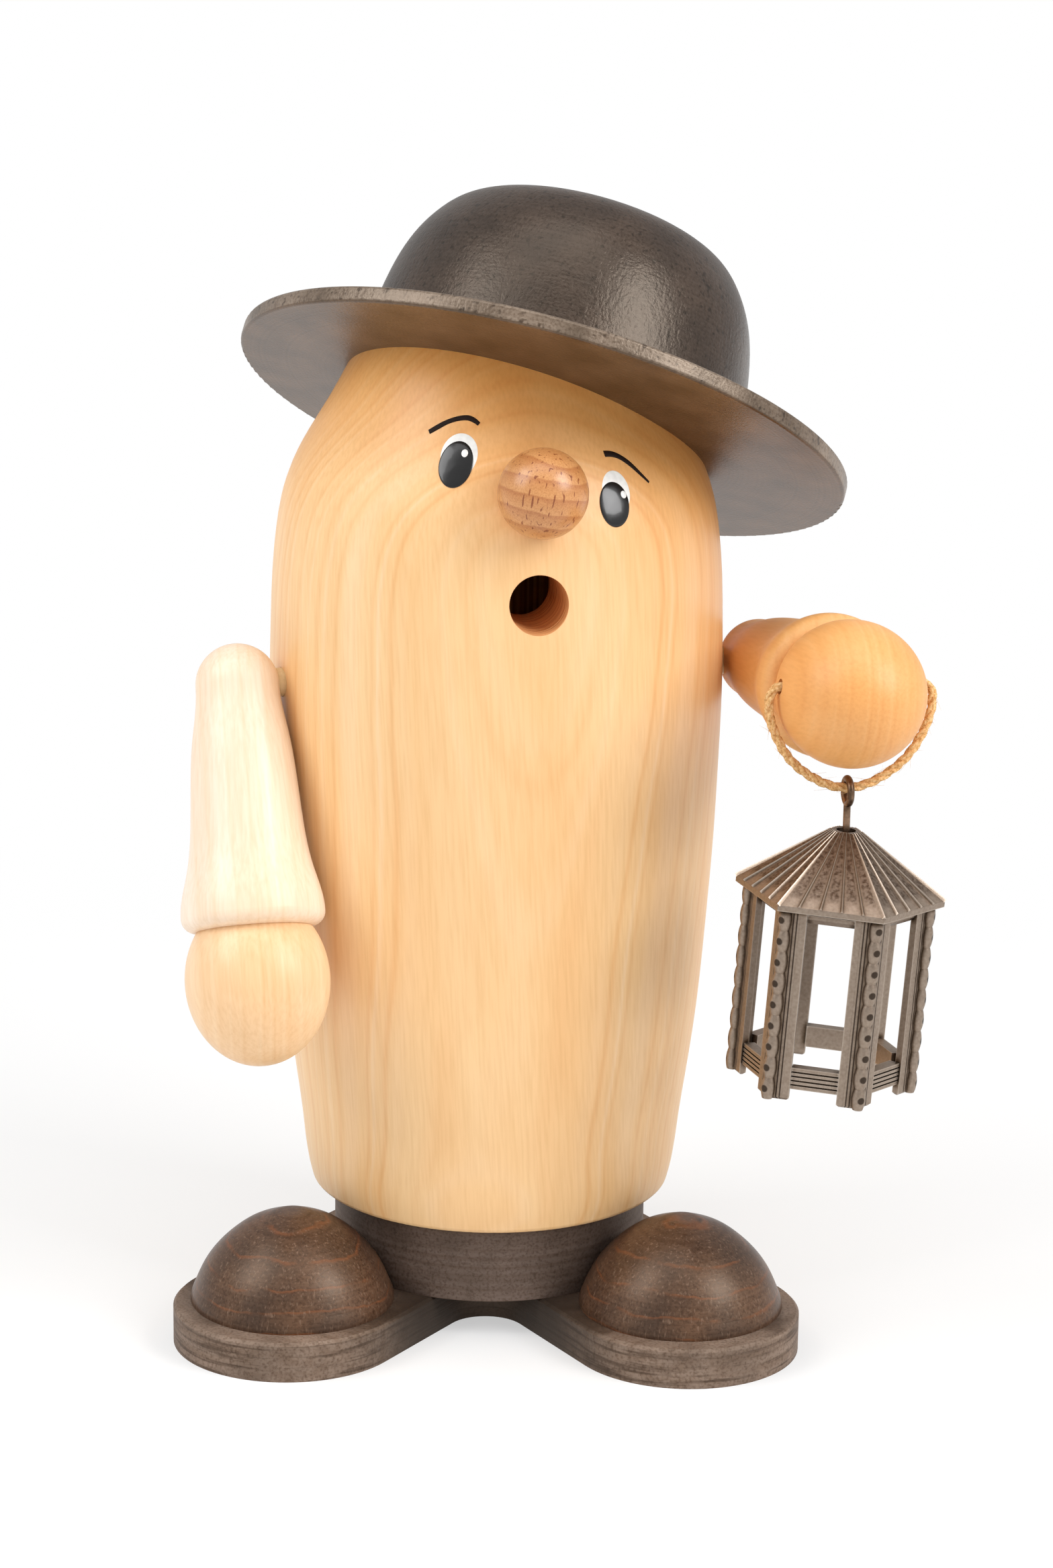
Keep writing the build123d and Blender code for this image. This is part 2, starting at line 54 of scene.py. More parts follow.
# Places that the CAD part gives
face_azimuth = math.radians(-79.0)
mouth_height = 133.5
mouth_radius = 5.0
chamber_radius = 22.0
chamber_top = 140.0
hat_seat_height = 160.6
hat_tilt = math.radians(28.7)
hat_tilt_azimuth = math.radians(59.8)
hat_shift = 8.3
hat_shift_azimuth = math.radians(30.5)
plate_thickness = 7.0
cap_spread = 34.0
cap_forward = 27.0

# The loop of cord through the hand: its hole, the hole's direction and its route
string_hole = Vector((59.0407, -39.528, 121.324))
string_azimuth = math.radians(11.3)
string_route = [
    (-0.6, 0.0),
    (-9.0, 0.0),
    (-14.0, 0.0),
    (-13.9, -6.1),
    (-9.5, -14.0),
    (0.0, -18.7),
    (9.5, -14.0),
    (13.9, -6.1),
    (14.0, 0.0),
    (9.0, 0.0),
    (0.6, 0.0),
]

# The lantern: where it hangs, how it leans, its heights, and how many sides, beads and roof panels it has
lantern_hang = Vector((59.0407, -39.528, 103.739))
lantern_drop = 7.2
lantern_lean = math.radians(3.8)
lantern_turn = math.radians(-9.7)
lantern_height = 33.8
roof_height = 10.1
eaves_height = 1.0
lantern_sides = 6
bead_count = 9
panels_per_face = 5

# Marks on the posts' outer faces: dimples on the beads, and reeds on both sides of them
post_face = 13.9
dimple_edge = 0.72
dimple_floor = 0.48
reed_spacing = 0.52
reed_offset = 1.7
reed_spread = 0.55

# How far past the bores the smoke's brown reaches, how far below the hat the wood is darkened to amber as
# painted shade from the brim, and how far the growth rings sway
mouth_margin = 0.06
chamber_margin = 0.5
brim_shade_reach = 38.0
ring_sway = 3.0

# The twine: one turn of its plies, their number, radius and distance from the middle, and each ply's yarns
twine_lay = 7.0
ply_count = 3
ply_radius = 0.46
ply_offset = 0.36
yarns_per_ply = 5
yarn_depth = 0.1
yarn_twist = 40.0

# Its loose hairs: how many, how long and thick, and how far from the hole and the twine's middle they start
hair_count = 110
hair_lengths = (0.8, 2.2)
hair_radius = 0.035
hair_clear = 13.0
hair_root = 0.65


def polar(distance, azimuth, height=0.0):
    """Place at a distance from the body's axis."""
    return Vector((distance * math.cos(azimuth), distance * math.sin(azimuth), height))


def linear(colour):
    """Turn an sRGB hex colour to the linear values that Blender's sockets take."""
    parts = [int(colour[i:i + 2], 16) / 255 for i in (1, 3, 5)]
    return [p / 12.92 if p <= 0.04045 else ((p + 0.055) / 1.055) ** 2.4 for p in parts] + [1.0]


def grain(size):
    """Scale of a noise whose features are about this many millimetres wide."""
    return 1 / (size * MM)


def fit(tree, node, inputs):
    """Give a node's inputs their values: a number, a vector, a hex colour, or what an earlier node gives."""
    for name, value in inputs.items():
        if isinstance(name, str):
            socket = next(s for s in node.inputs if s.enabled and s.name == name)
        else:
            socket = node.inputs[name]
        if isinstance(value, bpy.types.Node):
            value = next(s for s in value.outputs if s.enabled)
        if isinstance(value, bpy.types.NodeSocket):
            tree.links.new(value, socket)
        else:
            socket.default_value = linear(value) if isinstance(value, str) else value


def add(tree, kind, settings, inputs):
    """Add a shader node with its settings and its inputs; a ramp's stops are places with hex colours."""
    node = tree.nodes.new("ShaderNode" + kind)
    for name, value in settings.items():
        if name == "stops":
            stops = node.color_ramp.elements
            while len(stops) < len(value):
                stops.new(1.0)
            for stop, (place, colour) in zip(stops, value):
                stop.position = place
                stop.color = linear(colour)
        elif name == "easing":
            node.color_ramp.interpolation = value
        else:
            setattr(node, name, value)
    fit(tree, node, inputs)
    return node


# Settings of a Mix node that lays one colour over another, and of one that darkens a colour by another
mixed_in = {"data_type": "RGBA"}
darkened = {"data_type": "RGBA", "blend_type": "MULTIPLY"}


def finish(name, roughness, metallic=0.0, ior=1.5, coat=0.0, coat_roughness=0.2):
    """New material with its plain shader values; the patterns are linked to it afterwards."""
    material = bpy.data.materials.new(name)
    material.use_nodes = True
    tree = material.node_tree
    shader = tree.nodes["Principled BSDF"]
    fit(tree, shader, {"Roughness": roughness, "Metallic": metallic, "IOR": ior})
    fit(tree, shader, {"Coat Weight": coat, "Coat Roughness": coat_roughness})
    return material, tree, shader


def seen_from(tree, origin, axis):
    """Object coordinates turned so that the given axis is Z and the given place (mm) is the origin."""
    turn = Vector(axis).rotation_difference(Vector((0, 0, 1)))
    shift = -(turn @ (Vector(origin) * MM))
    place = add(tree, "TexCoord", {}, {})
    inputs = {"Vector": place.outputs["Object"], "Location": shift, "Rotation": turn.to_euler()}
    return add(tree, "Mapping", {}, inputs)


def off_axis(tree, place):
    """Distance of each place from the Z axis of its coordinates."""
    level = add(tree, "VectorMath", {"operation": "MULTIPLY"}, {0: place, 1: (1, 1, 0)})
    return add(tree, "VectorMath", {"operation": "LENGTH"}, {0: level})


def years_out(tree, turned, sway, ring):
    """Years of growth from the pith out, one to each ring's width (mm), on rings that a noise bends."""
    shifts = {0: sway.outputs["Color"], 1: (ring_sway * MM,) * 3, 2: turned}
    moved = add(tree, "VectorMath", {"operation": "MULTIPLY_ADD"}, shifts)
    return add(tree, "Math", {"operation": "DIVIDE"}, {0: off_axis(tree, moved), 1: ring * MM})


def hat_axis():
    """Direction out of the top of the hat."""
    return polar(math.sin(hat_tilt), hat_tilt_azimuth, math.cos(hat_tilt))


def hat_centre():
    """Middle of the brim's underside."""
    centre = polar(hat_shift, hat_shift_azimuth)
    axis = hat_axis()
    return centre + Vector((0, 0, hat_seat_height - (centre.x * axis.x + centre.y * axis.y) / axis.z))


def limewood(name, pith, axis, ring, tones, contrast, bow=0.0):
    """Lime wood, turned and satin varnished: pale even ground, soft rings, hardly any fibre.

    The pith is a place (mm) with a direction, and bow bends it, in mm for each squared mm of its height. The
    tones are pale, ground and dark, and contrast is how strongly the most marked years show.
    """
    material, tree, shader = finish(name, 0.42, ior=1.48, coat=0.18, coat_roughness=0.3)
    straight = seen_from(tree, pith, axis)
    height = add(tree, "SeparateXYZ", {}, {0: straight}).outputs["Z"]
    bent = add(tree, "Math", {"operation": "MULTIPLY"}, {0: height, 1: height})
    aside = add(tree, "Math", {"operation": "MULTIPLY"}, {0: bent, 1: -bow / MM})
    back = add(tree, "CombineXYZ", {}, {"Y": aside})
    turned = add(tree, "VectorMath", {"operation": "ADD"}, {0: straight, 1: back})
    drawn = add(tree, "VectorMath", {"operation": "MULTIPLY"}, {0: turned, 1: (1, 1, 0.12)})
    sway = add(tree, "TexNoise", {}, {"Vector": drawn, "Scale": grain(38), "Detail": 0.0})
    years = years_out(tree, turned, sway, ring)
    uneven = add(tree, "TexNoise", {"noise_dimensions": "1D"}, {"W": years, "Scale": 0.35, "Detail": 1.0})
    count = add(tree, "Math", {"operation": "MULTIPLY_ADD"}, {0: uneven, 1: 2.2, 2: years})
    season = add(tree, "Math", {"operation": "FRACT"}, {0: count})
    pale, ground, dark = tones
    stops = [(0.0, ground), (0.16, pale), (0.42, ground), (0.62, ground), (0.85, dark), (1.0, ground)]
    band = add(tree, "ValToRGB", {"stops": stops, "easing": "EASE"}, {"Fac": season})
    year = add(tree, "Math", {"operation": "FLOOR"}, {0: count})
    strength = add(tree, "TexWhiteNoise", {"noise_dimensions": "1D"}, {"W": year})
    share = add(tree, "MapRange", {}, {"Value": strength, "To Min": contrast * 0.15, "To Max": contrast})
    ringed = add(tree, "Mix", mixed_in, {"Factor": share, "A": ground, "B": band})
    broad = add(tree, "TexNoise", {}, {"Vector": drawn, "Scale": grain(16), "Detail": 2.0})
    warmth = add(tree, "ValToRGB", {"stops": [(0.35, "#FFFFFF"), (0.7, "#F8E8D2")]}, {"Fac": broad})
    toned = add(tree, "Mix", darkened, {"Factor": 0.8, "A": ringed, "B": warmth})
    # The fibres are drawn coarser than real ones, so that they show
    long = add(tree, "VectorMath", {"operation": "MULTIPLY"}, {0: turned, 1: (1, 1, 0.05)})
    fibre = add(tree, "TexNoise", {}, {"Vector": long, "Scale": grain(0.5), "Detail": 3.0})
    streak = add(tree, "ValToRGB", {"stops": [(0.3, "#F8F4EE"), (0.6, "#FFFFFF")]}, {"Fac": fibre})
    wood = add(tree, "Mix", darkened, {"Factor": 1.0, "A": toned, "B": streak})
    bump = add(tree, "Bump", {}, {"Height": fibre, "Strength": 0.05, "Distance": 0.05 * MM})
    fit(tree, shader, {"Base Color": wood, "Normal": bump})
    return material, tree, shader, wood, bump


def body_limewood():
    """Body and head: the pith runs upright behind the figure, and the bored holes are smoked brown."""
    pith = (-2.5, 31.0, 105)
    tones = ("#FADAB2", "#F6CE99", "#EDB87D")
    upwards = (-0.06, 0, 1)
    made = limewood("limewood_turned_satin_body", pith, upwards, 1.8, tones, contrast=0.65, bow=0.0011)
    material, tree, shader, wood, bump = made
    # Painted shade: towards the hat the wood is darkened to a warm amber, as the brim's shade and its warm
    # bounce would make it
    below_hat = add(tree, "SeparateXYZ", {}, {0: seen_from(tree, hat_centre(), hat_axis())})
    spread = {"Value": below_hat.outputs["Z"], "From Min": -brim_shade_reach * MM, "From Max": 0.0}
    painted_brim_shade = add(tree, "MapRange", {"interpolation_type": "SMOOTHSTEP"}, spread)
    wood = add(tree, "Mix", darkened, {"Factor": painted_brim_shade, "A": wood, "B": "#FFE1B2"})
    # Inside the mouth's bore
    beside = seen_from(tree, (0, 0, mouth_height), polar(1, face_azimuth))
    depth = add(tree, "SeparateXYZ", {}, {0: beside}).outputs["Z"]
    edge = (mouth_radius + mouth_margin) * MM
    near = add(tree, "Math", {"operation": "LESS_THAN"}, {0: off_axis(tree, beside), 1: edge})
    ahead = add(tree, "Math", {"operation": "GREATER_THAN"}, {0: depth, 1: 0.0})
    bored = add(tree, "Math", {"operation": "MULTIPLY"}, {0: near, 1: ahead})
    # Inside the smoke chamber
    upright = seen_from(tree, (0, 0, 0), (0, 0, 1))
    wall = (chamber_radius + chamber_margin) * MM
    within = add(tree, "Math", {"operation": "LESS_THAN"}, {0: off_axis(tree, upright), 1: wall})
    rise = add(tree, "SeparateXYZ", {}, {0: upright}).outputs["Z"]
    ceiling = (chamber_top + chamber_margin) * MM
    below = add(tree, "Math", {"operation": "LESS_THAN"}, {0: rise, 1: ceiling})
    inside = add(tree, "Math", {"operation": "MULTIPLY"}, {0: within, 1: below})
    hollow = add(tree, "Math", {"operation": "MAXIMUM"}, {0: bored, 1: inside})
    drilled = {"W": depth, "Scale": grain(0.5), "Detail": 1.0}
    turns = add(tree, "TexNoise", {"noise_dimensions": "1D"}, drilled)
    smoked = add(tree, "ValToRGB", {"stops": [(0.35, "#D08446"), (0.6, "#FFC488")]}, {"Fac": turns})
    colour = add(tree, "Mix", mixed_in, {"Factor": hollow, "A": wood, "B": smoked})
    scored = add(tree, "Math", {"operation": "MULTIPLY"}, {0: turns, 1: bored})
    scoring = {"Height": scored, "Strength": 0.6, "Distance": 0.2 * MM, "Normal": bump}
    grooves = add(tree, "Bump", {}, scoring)
    fit(tree, shader, {"Base Color": colour, "Normal": grooves})
    return material


def arm_limewood(node, tones):
    """Sleeve or hand: turned along the arm, so the grain follows it."""
    side = node.split("_")[0]
    joint = next(j for j in frame["joints"] if j["name"] == f"{side}_arm_swing")
    shoulder = Vector(joint["pos_m"])
    low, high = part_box(f"{side}_hand")
    down = ((Vector(low) + Vector(high)) / 2 - shoulder).normalized()
    # The pith is far from the arm, so the rings are nearly straight in it
    pith = shoulder / MM + Vector((70, 0, 0))
    made = limewood(f"limewood_turned_satin_{node}", pith, down, 2.2, tones, contrast=0.5)
    material, tree, shader = made[:3]
    if side == "right":
        fit(tree, shader, {"Coat Weight": 0.08, "Roughness": 0.5})
    return material


def beech():
    """Beech ball nose: red-brown, with the short dark rays that mark beech, oiled."""
    material, tree, shader = finish("beech_turned_oiled", 0.36, ior=1.5, coat=0.3, coat_roughness=0.22)
    turned = seen_from(tree, (0, 0, 0), (0.16, 0.0, 1))
    split = add(tree, "SeparateXYZ", {}, {0: turned})
    waves = add(tree, "TexNoise", {}, {"Vector": turned, "Scale": grain(7), "Detail": 1.0})
    rise = {0: waves, 1: 1.6 * MM, 2: split.outputs["Z"]}
    height = add(tree, "Math", {"operation": "MULTIPLY_ADD"}, rise)
    years = add(tree, "Math", {"operation": "DIVIDE"}, {0: height, 1: 2.6 * MM})
    season = add(tree, "Math", {"operation": "FRACT"}, {0: years})
    stops = [(0.0, "#D39860"), (0.55, "#C98C55"), (0.88, "#BC7C49"), (1.0, "#D39860")]
    band = add(tree, "ValToRGB", {"stops": stops, "easing": "EASE"}, {"Fac": season})
    drawn = add(tree, "VectorMath", {"operation": "MULTIPLY"}, {0: turned, 1: (1, 1, 0.14)})
    rays = add(tree, "TexNoise", {}, {"Vector": drawn, "Scale": grain(0.46), "Detail": 0.0})
    marks = add(tree, "ValToRGB", {"stops": [(0.69, "#FFFFFF"), (0.75, "#A8734B")]}, {"Fac": rays})
    rayed = add(tree, "Mix", darkened, {"Factor": 0.85, "A": band, "B": marks})
    speck = add(tree, "TexNoise", {}, {"Vector": turned, "Scale": grain(0.25), "Detail": 2.0})
    fleck = add(tree, "ValToRGB", {"stops": [(0.3, "#E9DCCF"), (0.6, "#FFFFFF")]}, {"Fac": speck})
    wood = add(tree, "Mix", darkened, {"Factor": 1.0, "A": rayed, "B": fleck})
    bump = add(tree, "Bump", {}, {"Height": rays, "Strength": 0.1, "Distance": 0.05 * MM})
    fit(tree, shader, {"Base Color": wood, "Normal": bump})
    return material


def stained_wood(name, origin, axis, ground, worn, turning, roughness, relief=1.0):
    """Wood stained dark and waxed: the stain pools in the pores, and turning marks run round the axis.

    The turning marks are that many mm apart, and relief makes the pores deeper or shallower.
    """
    material, tree, shader = finish(name, roughness, ior=1.5)
    fit(tree, shader, {"Specular Tint": "#FFEBD6"})
    turned = seen_from(tree, origin, axis)
    split = add(tree, "SeparateXYZ", {}, {0: turned})
    cloud = add(tree, "TexNoise", {}, {"Vector": turned, "Scale": grain(9), "Detail": 4.0})
    # The pores are drawn coarser than real ones, so that they show
    pores = add(tree, "TexNoise", {}, {"Vector": turned, "Scale": grain(0.5), "Detail": 3.0})
    section = add(tree, "CombineXYZ", {}, {"X": off_axis(tree, turned), "Y": split.outputs["Z"]})
    marks = add(tree, "TexNoise", {}, {"Vector": section, "Scale": grain(turning), "Detail": 2.0})
    toned = add(tree, "ValToRGB", {"stops": [(0.3, ground), (0.75, worn)]}, {"Fac": cloud})
    pitted = add(tree, "ValToRGB", {"stops": [(0.3, "#BBAFA6"), (0.55, "#FFFFFF")]}, {"Fac": pores})
    deepened = add(tree, "Mix", darkened, {"Factor": 0.9, "A": toned, "B": pitted})
    turnings = add(tree, "ValToRGB", {"stops": [(0.35, "#D9CFC6"), (0.6, "#FFFFFF")]}, {"Fac": marks})
    wood = add(tree, "Mix", darkened, {"Factor": 0.7, "A": deepened, "B": turnings})
    waxed = {"Value": pores, "To Min": roughness - 0.08, "To Max": roughness + 0.1}
    rough = add(tree, "MapRange", {}, waxed)
    low = add(tree, "Bump", {}, {"Height": pores, "Strength": 0.25 * relief, "Distance": 0.1 * MM})
    bump = add(tree, "Bump", {}, {"Height": marks, "Strength": 0.3, "Distance": 0.08 * MM, "Normal": low})
    fit(tree, shader, {"Base Color": wood, "Roughness": rough, "Normal": bump})
    return material, tree, shader, wood, bump


def leathery(tree, wood, bump, relief):
    """Raised grain under the stain: fine creases that catch the light, and small dark pits."""
    turned = seen_from(tree, hat_centre(), hat_axis())
    drawn = add(tree, "VectorMath", {"operation": "MULTIPLY"}, {0: turned, 1: (1, 1, 0.45)})
    crackle = {"Vector": drawn, "Scale": grain(0.9), "Detail": 3.0, "Distortion": 0.6}
    creases = add(tree, "TexNoise", {}, crackle)
    swelling = {"Height": creases, "Strength": 0.5, "Distance": relief * MM, "Normal": bump}
    raised = add(tree, "Bump", {}, swelling)
    specks = add(tree, "TexNoise", {}, {"Vector": turned, "Scale": grain(1.1), "Detail": 1.0})
    pits = add(tree, "ValToRGB", {"stops": [(0.28, "#958980"), (0.38, "#FFFFFF")]}, {"Fac": specks})
    pitted = add(tree, "Mix", darkened, {"Factor": 1.0, "A": wood, "B": pits})
    return pitted, raised


def stained_crown():
    """Hat crown: nearly black stain over raised grain, leathery where the light catches it."""
    made = stained_wood(
        "stained_wood_hat",
        hat_centre(),
        hat_axis(),
        ground="#2D2420",
        worn="#463931",
        turning=0.5,
        roughness=0.29,
        relief=2.2,
    )
    material, tree, shader, wood, bump = made
    pitted, raised = leathery(tree, wood, bump, 0.16)
    fit(tree, shader, {"Base Color": pitted, "Normal": raised, "IOR": 1.55})
    return material


def stained_brim():
    """Hat brim: mottled worn edge, and a smoother underside, darkened as painted shade."""
    made = stained_wood(
        "stained_wood_brim",
        hat_centre(),
        hat_axis(),
        ground="#5A4C3F",
        worn="#8E7E6F",
        turning=0.5,
        roughness=0.32,
        relief=2.0,
    )
    material, tree, shader, wood, bump = made
    pitted, raised = leathery(tree, wood, bump, 0.2)
    rise = add(tree, "SeparateXYZ", {}, {0: seen_from(tree, hat_centre(), hat_axis())}).outputs["Z"]
    underside = 0.3 * MM
    under = add(tree, "Math", {"operation": "LESS_THAN"}, {0: rise, 1: underside})
    # Painted shade: the brim's underside is drawn darker than its edge and top
    plain = add(tree, "Mix", darkened, {"Factor": 1.0, "A": wood, "B": "#C8B49E"})
    coloured = add(tree, "Mix", mixed_in, {"Factor": under, "A": pitted, "B": plain})
    bumped = add(tree, "Mix", {"data_type": "VECTOR"}, {"Factor": under, "A": raised, "B": bump})
    fit(tree, shader, {"Base Color": coloured, "Normal": bumped, "IOR": 1.7})
    return material


def shoe_wood(side):
    """Toe caps: dark brown stain over lime wood, with faint orange growth lines and upright scratches."""
    middle = (cap_spread * side, -cap_forward, plate_thickness)
    made = stained_wood(
        f"stained_limewood_shoe_{side}",
        middle,
        (0, 0, 1),
        ground="#46342A",
        worn="#6C4F3B",
        turning=0.6,
        roughness=0.36,
    )
    material, tree, shader, wood = made[:4]
    turned = seen_from(tree, (cap_spread * side, -20.0, -60.0), (0.12 * side, 1, 0.1))
    sway = add(tree, "TexNoise", {}, {"Vector": turned, "Scale": grain(9), "Detail": 4.0})
    season = add(tree, "Math", {"operation": "FRACT"}, {0: years_out(tree, turned, sway, 3.4)})
    stops = [(0.0, "#000000"), (0.82, "#000000"), (0.94, "#9C9C9C"), (1.0, "#000000")]
    line = add(tree, "ValToRGB", {"stops": stops, "easing": "EASE"}, {"Fac": season})
    broken = add(tree, "TexNoise", {}, {"Vector": turned, "Scale": grain(5), "Detail": 2.0})
    seen = add(tree, "MapRange", {}, {"Value": broken, "From Min": 0.36, "From Max": 0.55})
    share = add(tree, "Math", {"operation": "MULTIPLY"}, {0: line, 1: seen})
    lined = add(tree, "Mix", mixed_in, {"Factor": share, "A": wood, "B": "#95562F"})
    straight = seen_from(tree, middle, (0, 0, 1))
    upright = add(tree, "VectorMath", {"operation": "MULTIPLY"}, {0: straight, 1: (1, 1, 0.08)})
    scratch = add(tree, "TexNoise", {}, {"Vector": upright, "Scale": grain(0.45), "Detail": 2.0})
    scratched = {"Value": scratch, "From Min": 0.58, "From Max": 0.75, "To Max": 0.5}
    lighter = add(tree, "MapRange", {}, scratched)
    coloured = add(tree, "Mix", mixed_in, {"Factor": lighter, "A": lined, "B": "#8C7260"})
    fit(tree, shader, {"Base Color": coloured})
    return material


def stained_ply():
    """Sole of stained plywood: the plies show as level lines, and painted shadow darkens it between the
    shoes.
    """
    made = stained_wood(
        "stained_plywood_sole",
        (0, 0, 0),
        (0, 0, 1),
        ground="#6E5D51",
        worn="#948071",
        turning=2.0,
        roughness=0.6,
    )
    material, tree, shader, wood, bump = made
    turned = seen_from(tree, (0, 0, 0), (0, 0, 1))
    squeezed = add(tree, "VectorMath", {"operation": "MULTIPLY"}, {0: turned, 1: (0.05, 0.05, 1)})
    plies = add(tree, "TexNoise", {}, {"Vector": squeezed, "Scale": grain(0.7), "Detail": 3.0})
    lines = add(tree, "ValToRGB", {"stops": [(0.35, "#95887E"), (0.5, "#FFFFFF")]}, {"Fac": plies})
    mixed = add(tree, "Mix", darkened, {"Factor": 0.8, "A": wood, "B": lines})
    # Painted shadow: the plate is darkened round the notch between the shoes, where the body and pedestal
    # shade it
    notch = (0.0, -33 * MM, 6 * MM)
    between = add(tree, "VectorMath", {"operation": "SUBTRACT"}, {0: turned, 1: notch})
    away = add(tree, "VectorMath", {"operation": "LENGTH"}, {0: between})
    shadow_spread = {"Value": away, "From Min": 26 * MM, "From Max": 12 * MM, "To Max": 0.94}
    deepened = add(tree, "MapRange", {}, shadow_spread)
    mixed = add(tree, "Mix", mixed_in, {"Factor": deepened, "A": mixed, "B": "#211812"})
    ridges = {"Height": plies, "Strength": 0.5, "Distance": 0.15 * MM, "Normal": bump}
    ridged = add(tree, "Bump", {}, ridges)
    fit(tree, shader, {"Base Color": mixed, "Normal": ridged})
    return material


def pewter(name):
    """Cast pewter with a blackened finish: rubbed bright on edges, brown-black in the recesses."""
    material, tree, shader = finish(name, 0.4, metallic=0.85)
    place = add(tree, "TexCoord", {}, {}).outputs["Object"]
    sheltered = add(tree, "AmbientOcclusion", {"samples": 8}, {"Distance": 1.2 * MM})
    within = add(tree, "AmbientOcclusion", {"samples": 8, "inside": True}, {"Distance": 0.45 * MM})
    cloud = add(tree, "TexNoise", {}, {"Vector": place, "Scale": grain(0.5), "Detail": 3.0})
    shade = add(tree, "Math", {"operation": "MULTIPLY_ADD"}, {0: cloud, 1: 0.22, 2: sheltered.outputs["AO"]})
    stops = [(0.5, "#20170F"), (0.76, "#62503F"), (0.92, "#8E7D6E"), (1.0, "#A29283")]
    shaded = add(tree, "MapRange", {}, {"Value": shade, "From Max": 1.15})
    ground = add(tree, "ValToRGB", {"stops": stops}, {"Fac": shaded})
    rubbed = {"Value": within.outputs["AO"], "From Min": 0.75, "From Max": 0.4, "To Max": 0.85}
    edge = add(tree, "MapRange", {}, rubbed)
    metal = add(tree, "Mix", mixed_in, {"Factor": edge, "A": ground, "B": "#CCBDAE"})
    grit = add(tree, "TexNoise", {}, {"Vector": place, "Scale": grain(0.25), "Detail": 2.0})
    rough = add(tree, "MapRange", {}, {"Value": grit, "To Min": 0.32, "To Max": 0.52})
    bump = add(tree, "Bump", {}, {"Height": grit, "Strength": 0.2, "Distance": 0.05 * MM})
    fit(tree, shader, {"Base Color": metal, "Roughness": rough, "Normal": bump})
    return material, tree, shader, metal, bump


def lantern_place(tree):
    """Height above the lantern's eaves, sixths of a turn from a corner, distance from its leaning axis."""
    axis = Vector((math.sin(lantern_lean), 0, math.cos(lantern_lean)))
    level = polar(1, lantern_turn)
    across = (level - axis * level.dot(axis)).normalized()
    turn = Matrix((across, axis.cross(across), axis))
    eaves = lantern_hang - Vector((0, 0, lantern_drop)) - axis * roof_height
    place = add(tree, "TexCoord", {}, {}).outputs["Object"]
    inputs = {"Vector": place, "Location": -(turn @ eaves) * MM, "Rotation": turn.to_euler()}
    split = add(tree, "SeparateXYZ", {}, {0: add(tree, "Mapping", {}, inputs)})
    angle = add(tree, "Math", {"operation": "ARCTAN2"}, {0: split.outputs["Y"], 1: split.outputs["X"]})
    sixths = add(tree, "Math", {"operation": "DIVIDE"}, {0: angle, 1: 2 * math.pi / lantern_sides})
    level_place = add(tree, "CombineXYZ", {}, {"X": split.outputs["X"], "Y": split.outputs["Y"]})
    out = add(tree, "VectorMath", {"operation": "LENGTH"}, {0: level_place})
    return split.outputs["Z"], sixths, out.outputs["Value"]


def pewter_posts():
    """Corner posts: blackened dimples down the beads, and fine dark reeds beside them."""
    material, tree, shader, metal, bump = pewter("pewter_cast_blackened_posts")
    rise, sixths, out = lantern_place(tree)
    corner = add(tree, "Math", {"operation": "ROUND"}, {0: sixths})
    off_corner = add(tree, "Math", {"operation": "SUBTRACT"}, {0: sixths, 1: corner})
    turned = add(tree, "Math", {"operation": "MULTIPLY"}, {0: off_corner, 1: 2 * math.pi / lantern_sides})
    sine = add(tree, "Math", {"operation": "SINE"}, {0: turned})
    aside = add(tree, "Math", {"operation": "MULTIPLY"}, {0: sine, 1: out})
    pitch = (lantern_height - eaves_height) / bead_count * MM
    beads = add(tree, "Math", {"operation": "DIVIDE"}, {0: rise, 1: pitch})
    from_foot = add(tree, "Math", {"operation": "ADD"}, {0: beads, 1: lantern_height * MM / pitch})
    within_bead = add(tree, "Math", {"operation": "FRACT"}, {0: from_foot})
    along_bead = add(tree, "Math", {"operation": "MULTIPLY_ADD"}, {0: within_bead, 1: pitch, 2: -pitch / 2})
    from_dimple = add(tree, "CombineXYZ", {}, {"X": aside, "Y": along_bead})
    away = add(tree, "VectorMath", {"operation": "LENGTH"}, {0: from_dimple}).outputs["Value"]
    edge = {"Value": away, "From Min": dimple_edge * MM, "From Max": dimple_floor * MM}
    dimple = add(tree, "MapRange", {"interpolation_type": "SMOOTHSTEP"}, edge)
    reach = add(tree, "Math", {"operation": "ABSOLUTE"}, {0: aside})
    ridge = add(tree, "Math", {"operation": "PINGPONG"}, {0: reach, 1: reed_spacing / 2 * MM})
    groove = add(tree, "MapRange", {}, {"Value": ridge, "From Min": 0.13 * MM, "From Max": 0.22 * MM})
    beside = {0: reach, 1: reed_offset * MM, 2: reed_spread * MM}
    beside_bead = add(tree, "Math", {"operation": "COMPARE"}, beside)
    reed = add(tree, "Math", {"operation": "MULTIPLY"}, {0: groove, 1: beside_bead})
    carved = add(tree, "Math", {"operation": "MAXIMUM"}, {0: dimple, 1: reed})
    outer = add(tree, "Math", {"operation": "GREATER_THAN"}, {0: out, 1: post_face * MM})
    cut = add(tree, "Math", {"operation": "MULTIPLY"}, {0: carved, 1: outer})
    share = add(tree, "Math", {"operation": "MULTIPLY"}, {0: cut, 1: 0.88})
    coloured = add(tree, "Mix", mixed_in, {"Factor": share, "A": metal, "B": "#2A1E15"})
    sunk = {"Height": cut, "Strength": 0.7, "Distance": 0.12 * MM, "Normal": bump}
    carving = add(tree, "Bump", {"invert": True}, sunk)
    fit(tree, shader, {"Base Color": coloured, "Normal": carving})
    return material


